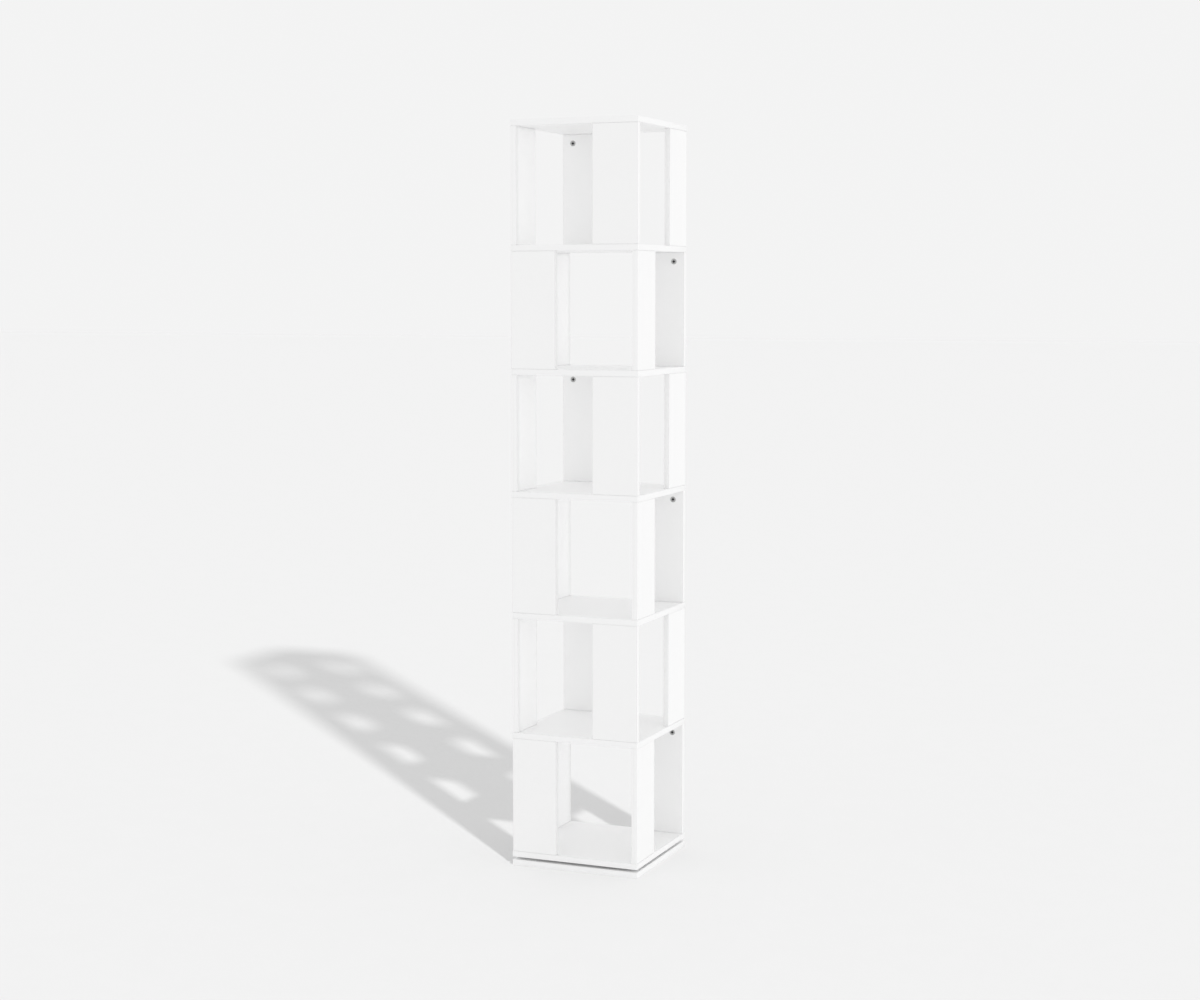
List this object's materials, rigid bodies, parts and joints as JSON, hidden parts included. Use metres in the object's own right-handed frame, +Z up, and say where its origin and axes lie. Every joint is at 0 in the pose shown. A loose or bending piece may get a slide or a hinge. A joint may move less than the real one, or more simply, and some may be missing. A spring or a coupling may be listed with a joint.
{
  "type": "rotating bookshelf",
  "caption": "Tall square bookshelf tower of open tiers with side panels set like a pinwheel, turning as one on a ball-bearing base that rests on the floor.",
  "frame": {"origin": "middle of the base plate's underside, on the floor", "axes": "+Z up along the axis that the tower turns on, -Y out of the front face, +X out of the right face"},
  "size_m": [0.35, 0.35, 1.927],
  "materials": {
    "white_board": "chipboard faced and edged with satin white melamine",
    "zinc_plated_steel": "pressed steel, zinc plated",
    "screw_steel": "zinc plated",
    "ball_steel": "polished",
    "cage_plastic": "natural nylon",
    "cast_zinc": "die-cast zinc",
    "dowel_wood": "bare beech"
  },
  "bodies": {
    "base": {"base_plate": "white_board", "turntable_lower_plate": "zinc_plated_steel", "lower_plate_screws": "screw_steel"},
    "ball_ring": {"turntable_balls": "ball_steel", "turntable_ball_cage": "cage_plastic"},
    "tower": {"tier_1_front_panel": "white_board", "tier_1_right_panel": "white_board", "tier_1_back_panel": "white_board", "tier_1_left_panel": "white_board", "tier_2_front_panel": "white_board", "tier_2_right_panel": "white_board", "tier_2_back_panel": "white_board", "tier_2_left_panel": "white_board", "tier_3_front_panel": "white_board", "tier_3_right_panel": "white_board", "tier_3_back_panel": "white_board", "tier_3_left_panel": "white_board", "tier_4_front_panel": "white_board", "tier_4_right_panel": "white_board", "tier_4_back_panel": "white_board", "tier_4_left_panel": "white_board", "tier_5_front_panel": "white_board", "tier_5_right_panel": "white_board", "tier_5_back_panel": "white_board", "tier_5_left_panel": "white_board", "tier_6_front_panel": "white_board", "tier_6_right_panel": "white_board", "tier_6_back_panel": "white_board", "tier_6_left_panel": "white_board", "bottom_board": "white_board", "shelf_1": "white_board", "shelf_2": "white_board", "shelf_3": "white_board", "shelf_4": "white_board", "shelf_5": "white_board", "top_board": "white_board", "turntable_upper_plate": "zinc_plated_steel", "upper_plate_screws": "screw_steel", "cam_locks": "cast_zinc", "cam_bolts": "screw_steel", "panel_dowels": "dowel_wood"}
  },
  "joints": [
    {"name": "tower_spin", "type": "hinge", "parent": "base", "child": "tower", "pos_m": [0, 0, 0.019], "axis": [0, 0, 1], "continuous": true},
    {"name": "ball_ring_spin", "type": "hinge", "parent": "base", "child": "ball_ring", "pos_m": [0, 0, 0.0185], "axis": [0, 0, 1], "continuous": true}
  ],
  "couplings": [
    {"joint": "ball_ring_spin", "follows": "tower_spin", "ratio": 0.5}
  ]
}
